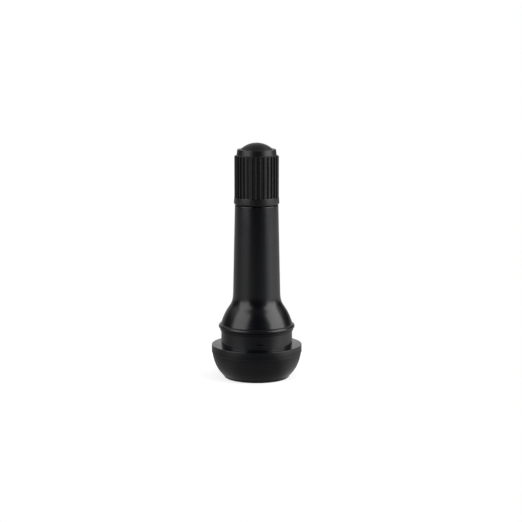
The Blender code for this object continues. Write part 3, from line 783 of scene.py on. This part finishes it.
def makeBrassStem():
    s = stem
    tail, tip = lowOf("brass_stem"), highOf("brass_stem")
    anchorBottom, anchorSlope = rubber["anchorBottom"], rubber["anchorSlope"]
    anchorTop = anchorBottom + rubber["anchorTall"]
    piece = turnPiece("brassStem", [
        (s["airBore"], tail, 0.15),
        (s["tailRadius"], tail, 0.25),
        (s["tailRadius"], anchorBottom),
        (s["anchorRadius"], anchorBottom + anchorSlope, 0.1),
        (s["anchorRadius"], anchorTop, 0.1),
        (s["rootRadius"], anchorTop + anchorSlope),
        (s["rootRadius"], s["threadBottom"]),
        (s["crestRadius"], s["threadBottom"] + 0.49),
        (s["crestRadius"], tip - s["tipChamfer"], 0.05),
        (s["tipRadius"], tip, 0.06),
        (s["chamberRadius"] + 0.3, tip, 0.05),
        (s["chamberRadius"], tip - 0.3, 0.05),
        (s["chamberRadius"], s["seatTop"]),
        (s["seatRadius"], s["seatTop"], 0.08),
        (s["airBore"], s["seatBottom"], 0.2),
    ], s["around"], steps=3)
    outer = windHelix(
        "outerThread",
        threadSection(s["rootRadius"], s["crestRadius"], 0.12, 29, s["threadBottom"] + 0.6),
        s["threadPitch"], 13, 64,
    )
    cutAway(piece, outer)
    inner = windHelix(
        "innerThread",
        threadSection(s["chamberThreadRoot"], s["chamberRadius"], 0.1, 40, s["seatTop"] + 0.9),
        s["coreThreadPitch"], 9, 48,
    )
    cutAway(piece, inner)
    finishPiece(piece, "stemBrass", "valve_body", "brass_stem", 40)


# Valve core

core = {
    "around": 64,
    "pinHole": 0.50,
    "pinRadius": 0.45,
    "pinHeadRadius": 0.75,
    "rivetRadius": 0.80,
    "rivetTall": 0.5,
    "barrelRadius": 1.50,
    "barrelBore": 1.05,
    "barrelRimRadius": 2.0,
    "barrelRimTall": 0.3,
    "barrelLipProud": 0.2,
    "barrelLipTall": 0.4,
    "swivelHole": 0.98,
    "swivelPocket": 1.21,
    "swivelDepth": 1.0,
    "noseRadius": 1.15,
    "airHoleRadius": 0.75,
    "gasketInner": 1.55,
    "gasketLow": 1.84,  # its outer radii, which fill the stem's tapered seat
    "gasketHigh": 2.25,
    "plugRadius": 2.50,
    "plugHeadRadius": 1.70,
    "plugHeadTall": 1.15,
    "plugBevel": 0.2,
    "plugFootRadius": 1.13,
    "plugFootTall": 0.5,
    "plugNeckRadius": 0.90,
    "plugFlat": 1.1,
    "plugHole": 0.60,
    "plugThreadRoot": 2.22,
    "collarRadius": 0.97,
    "springRadius": 0.78,
    "wireRadius": 0.13,
    "aroundWire": 12,
    "springTurns": 8,
    "closedRise": 0.32,  # of the closed turn at each end
    "cupRadius": 1.62,
    "cupInner": 1.32,
    "cupFloor": 0.6,
    "cupSealRadius": 1.27,
}


def makeCoreBarrel():
    c = core
    low, high = lowOf("core_barrel"), highOf("core_barrel")
    rimLow = high - c["barrelRimTall"]
    lipTop = lowOf("barrel_gasket") - 0.05
    lipRadius = c["barrelRadius"] + c["barrelLipProud"]
    piece = turnPiece("coreBarrel", [
        (c["airHoleRadius"], low, 0.04),
        (c["noseRadius"], low, 0.06),
        (c["barrelRadius"], low + 0.9, 0.08),
        (c["barrelRadius"], lipTop - c["barrelLipTall"] - c["barrelLipProud"]),
        (lipRadius, lipTop - c["barrelLipTall"], 0.06),
        (lipRadius, lipTop, 0.05),
        (c["barrelRadius"], lipTop),
        (c["barrelRadius"], rimLow),
        (c["barrelRimRadius"], rimLow, 0.06),
        (c["barrelRimRadius"], high, 0.06),
        (c["swivelHole"], high, 0.04),
        (c["swivelHole"], rimLow),
        (c["swivelPocket"], rimLow),
        (c["swivelPocket"], high - c["swivelDepth"]),
        (c["barrelBore"], high - c["swivelDepth"]),
        (c["barrelBore"], low + 1.6),
        (c["airHoleRadius"], low + 1.6),
    ], c["around"], steps=3)
    finishPiece(piece, "coreBrass", "barrel", "core_barrel", 40)


def makeBarrelGasket():
    low, high = lowOf("barrel_gasket"), highOf("barrel_gasket")
    piece = turnPiece("barrelGasket", [
        (core["gasketInner"], low),
        (core["gasketLow"], low, 0.12),
        (core["gasketHigh"], high, 0.16),
        (core["gasketInner"], high),
    ], core["around"])
    finishPiece(piece, "redGasket", "barrel", "barrel_gasket", 60)


def makeCorePlug():
    c = core
    low, high = lowOf("core_plug"), highOf("core_plug")
    threadLow, threadHigh = highOf("core_barrel") + 0.15, high - c["plugHeadTall"]
    piece = turnPiece("corePlug", [
        (c["plugHole"], low, 0.03),
        (c["plugFootRadius"], low, 0.05),
        (c["plugFootRadius"], low + c["plugFootTall"], 0.05),
        (c["plugNeckRadius"], low + c["plugFootTall"]),
        (c["plugNeckRadius"], threadLow),
        (c["plugRadius"] - c["plugBevel"], threadLow, 0.04),
        (c["plugRadius"], threadLow + c["plugBevel"], 0.04),
        (c["plugRadius"], threadHigh - c["plugBevel"], 0.04),
        (c["plugRadius"] - c["plugBevel"], threadHigh, 0.04),
        (c["plugHeadRadius"], threadHigh),
        (c["plugHeadRadius"], high, 0.12),
        (c["plugHole"] + 0.12, high, 0.04),
        (c["plugHole"], high - 0.2, 0.04),
    ], c["around"], steps=3)
    thread = windHelix(
        "plugThread",
        threadSection(c["plugThreadRoot"], c["plugRadius"], 0.1, 38, threadLow + 0.1),
        stem["coreThreadPitch"], 4, 48,
    )
    cutAway(piece, thread)
    for side in (-1, 1):
        bpy.ops.object.select_all(action="DESELECT")
        bpy.ops.mesh.primitive_cube_add(
            size=2 * mm, location=(side * (c["plugFlat"] + 1) * mm, 0, (high + 0.1) * mm),
        )
        flat = bpy.context.object
        bpy.ops.transform.resize(
            value=(1, 3, (high - threadHigh + 0.1)), center_override=flat.location,
        )
        cutAway(piece, flat)
    finishPiece(piece, "coreBrass", "plug", "core_plug", 40)


def makeCorePin():
    c = core
    low, high = lowOf("core_pin"), highOf("core_pin")
    piece = turnPiece("corePin", [
        (0, low),
        (c["rivetRadius"], low, 0.16),
        (c["rivetRadius"], low + c["rivetTall"], 0.05),
        (c["pinRadius"], low + c["rivetTall"]),
        (c["pinRadius"], high - 0.62),
        (c["pinHeadRadius"], high - 0.5, 0.05),
        (c["pinHeadRadius"], high, 0.14),
        (0, high),
    ], 48, closed=False)
    finishPiece(piece, "coreBrass", "pin", "core_pin", 40)


def makeSpringCollar():
    low, high = lowOf("spring_collar"), highOf("spring_collar")
    piece = turnPiece("springCollar", [
        (core["pinHole"], low, 0.03),
        (core["collarRadius"], low, 0.06),
        (core["collarRadius"], high - 0.1, 0.05),
        (core["collarRadius"] - 0.17, high, 0.05),
        (core["pinHole"], high, 0.03),
    ], 48, steps=3)
    finishPiece(piece, "springSteel", "pin", "spring_collar", 40)


def makeCoreSpring():
    c = core
    low, high = lowOf("core_spring"), highOf("core_spring")
    openTurns = c["springTurns"] - 2
    first, last = low + c["wireRadius"], high - c["wireRadius"]
    openRise = (last - first - 2 * c["closedRise"]) / openTurns
    parts = []
    for height, rise, turns in (
        (first, c["closedRise"], 1),
        (first + c["closedRise"], openRise, openTurns),
        (last - c["closedRise"], c["closedRise"], 1),
    ):
        section = []
        for step in range(c["aroundWire"]):
            a = 2 * math.pi * step / c["aroundWire"]
            section.append((
                c["springRadius"] + c["wireRadius"] * math.cos(a),
                height + c["wireRadius"] * math.sin(a),
            ))
        parts.append(windHelix("coreSpring", section, rise, turns, 32))
    selectOnly(parts[0])
    for part in parts:
        part.select_set(True)
    bpy.ops.object.join()
    piece = bpy.context.object
    piece.name = "coreSpring"
    finishPiece(piece, "springSteel", "pin", "core_spring", 50)
    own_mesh(piece)


def makePinCup():
    c = core
    low, high = lowOf("pin_cup"), highOf("pin_cup")
    piece = turnPiece("pinCup", [
        (c["pinHole"], low, 0.03),
        (c["cupRadius"], low, 0.14),
        (c["cupRadius"], high, 0.06),
        (c["cupInner"], high, 0.06),
        (c["cupInner"], low + c["cupFloor"]),
        (c["pinHole"], low + c["cupFloor"]),
    ], c["around"], steps=4)
    finishPiece(piece, "coreBrass", "pin", "pin_cup", 40)


def makeCupSeal():
    low, high = lowOf("cup_seal"), highOf("cup_seal")
    piece = turnPiece("cupSeal", [
        (core["pinHole"], low, 0.04),
        (core["cupSealRadius"], low, 0.04),
        (core["cupSealRadius"], high, 0.12),
        (core["pinHole"], high, 0.06),
    ], core["around"])
    finishPiece(piece, "blackSeal", "pin", "cup_seal", 50)


# Dust cap and its washer

dustCap = {
    "ribs": 30,
    "aroundPerRib": 16,
    "ribShift": 3,  # places of the wall's mesh, to stand as in the photograph
    "mouthRadius": 4.68,
    "mouthDrop": 0.06,
    "bandRadius": 4.88,
    "bandHeight": 1.42,
    "ribRadius": 4.76,
    "grooveRadius": 4.42,
    "ribHalfWidth": 0.22,
    "shoulderTop": 48.2,
    "shoulderRise": 0.3,
    "collarRadius": 4.22,
    "collarTop": 49.35,
    "domeRadius": 3.45,
    "domeRise": 1.4,
    "boreRadius": 3.93,
    "boreThreadRoot": 4.18,
    "pocketRadius": 3.45,
    "washerHole": 2.20,
    "washerRadius": 3.40,
    "roofThickness": 1.05,
}


# From just above the dome's foot up to the axis
def domePoints(radius, rise, top, count):
    sphere = (radius**2 + rise**2) / (2 * rise)
    reach = math.asin(radius / sphere)
    angles = [reach * (count - step) / count for step in range(1, count + 1)]
    return [(sphere * math.sin(a), top - sphere * (1 - math.cos(a))) for a in angles]


# How far out the wall lies at each vertex, from the middle of a groove to the middle of a rib
def wallRadii():
    d = dustCap
    half = d["aroundPerRib"] // 2
    spacing = 2 * math.pi * d["ribRadius"] / (d["ribs"] * d["aroundPerRib"])
    radii = []
    for step in range(half + 1):
        across = (half - step) * spacing / d["ribHalfWidth"]
        rise = math.sqrt(1 - across**2) if across < 1 else 0
        radii.append(d["grooveRadius"] + (d["ribRadius"] - d["grooveRadius"]) * rise)
    return radii


# Moves the outer wall in between the ribs, one row of vertices and one place across at a time
def pressGrooves(cap, lowest, highest):
    d = dustCap
    perRib = d["aroundPerRib"]
    radii = wallRadii()
    rows = {}
    for vertex in cap.data.vertices:
        x, y, z = vertex.co / mm
        radius = math.hypot(x, y)
        if lowest < z < highest and radius > d["grooveRadius"]:
            place = round(math.degrees(math.atan2(y, x)) % 360 / 360 * d["ribs"] * perRib)
            step = (place + d["ribShift"]) % perRib
            across = min(step, perRib - step)  # 0 is the middle of a groove
            if radius > radii[across] + 0.001:
                rows.setdefault((round(z, 3), round(radius, 3), across), []).append(vertex.index)
    for (height, radius, across), indices in rows.items():
        bpy.ops.object.mode_set(mode="EDIT")
        bpy.ops.mesh.select_all(action="DESELECT")
        bpy.ops.object.mode_set(mode="OBJECT")
        for index in indices:
            cap.data.vertices[index].select = True
        bpy.ops.object.mode_set(mode="EDIT")
        share = radii[across] / radius
        bpy.ops.transform.resize(value=(share, share, 1), center_override=(0, 0, 0))
        bpy.ops.object.mode_set(mode="OBJECT")


def makeDustCap():
    d = dustCap
    mouth, apex = lowOf("cap"), highOf("cap")
    seatLow, ledge = lowOf("cap_seal"), highOf("cap_seal") + 0.05
    bandTop = mouth + d["bandHeight"]
    shoulderFoot = d["shoulderTop"] - d["shoulderRise"]
    slope = []
    for step in range(1, 5):
        t = step / 5
        slope.append((
            d["ribRadius"] + (d["collarRadius"] - d["ribRadius"]) * t,
            shoulderFoot + d["shoulderRise"] * t,
        ))
    sphere = (d["domeRadius"] ** 2 + d["domeRise"] ** 2) / (2 * d["domeRise"]) - d["roofThickness"]
    innerRise = apex - d["roofThickness"] - ledge
    innerRadius = math.sqrt(sphere**2 - (sphere - innerRise) ** 2)
    wall = softCorners([
        (innerRadius, ledge),
        (d["pocketRadius"], ledge),
        (d["pocketRadius"], seatLow),
        (d["boreRadius"], seatLow),
        (d["boreRadius"], mouth + 0.06, 0.03),
        (d["boreRadius"] + 0.12, mouth - d["mouthDrop"], 0.03),
        (d["mouthRadius"], mouth - d["mouthDrop"], 0.08),
        (d["bandRadius"], mouth + 0.18, 0.16),
        (d["bandRadius"] - 0.1, bandTop, 0.06),
        (d["ribRadius"], bandTop + 0.05),
        (d["ribRadius"], bandTop + 0.09),
        (d["ribRadius"], shoulderFoot, 0.16),
        *slope,
        (d["collarRadius"] + 0.05, d["shoulderTop"], 0.06),
        (d["collarRadius"] - 0.09, d["collarTop"], 0.09),
        (d["domeRadius"], d["collarTop"]),
    ], 4)
    roof = domePoints(innerRadius, innerRise, apex - d["roofThickness"], 6)[::-1]
    outside = domePoints(d["domeRadius"], d["domeRise"], apex, 14)
    cap = turnPiece("dustCap", roof + wall + outside, d["ribs"] * d["aroundPerRib"], closed=False)
    pressGrooves(cap, bandTop + 0.07, d["shoulderTop"] - 0.01)
    thread = windHelix(
        "capThread",
        threadSection(d["boreThreadRoot"], d["boreRadius"], 0.1, 40, mouth + 0.9),
        stem["threadPitch"], 11, 60,
    )
    cutAway(cap, thread)
    finishPiece(cap, "capPlastic", "cap", "cap", 30)


def makeCapWasher():
    low, high = lowOf("cap_seal"), highOf("cap_seal")
    piece = turnPiece("capWasher", [
        (dustCap["washerHole"], low, 0.15),
        (dustCap["washerRadius"], low, 0.15),
        (dustCap["washerRadius"], high, 0.15),
        (dustCap["washerHole"], high, 0.15),
    ], 96)
    finishPiece(piece, "blackSeal", "cap_washer", "cap_seal", 50)


addCamera()
addSoftBoxes()
roomGlow = makeRoomGlow()
makeWorld()
makeFloor()
finishes = makeFinishes()

makeRubberBody()
makeBrassStem()
makeCoreBarrel()
makeBarrelGasket()
makeCorePlug()
makeCorePin()
makeSpringCollar()
makeCoreSpring()
makePinCup()
makeCupSeal()
makeCapWasher()
makeDustCap()

bpy.context.scene.view_settings.view_transform = "Standard"
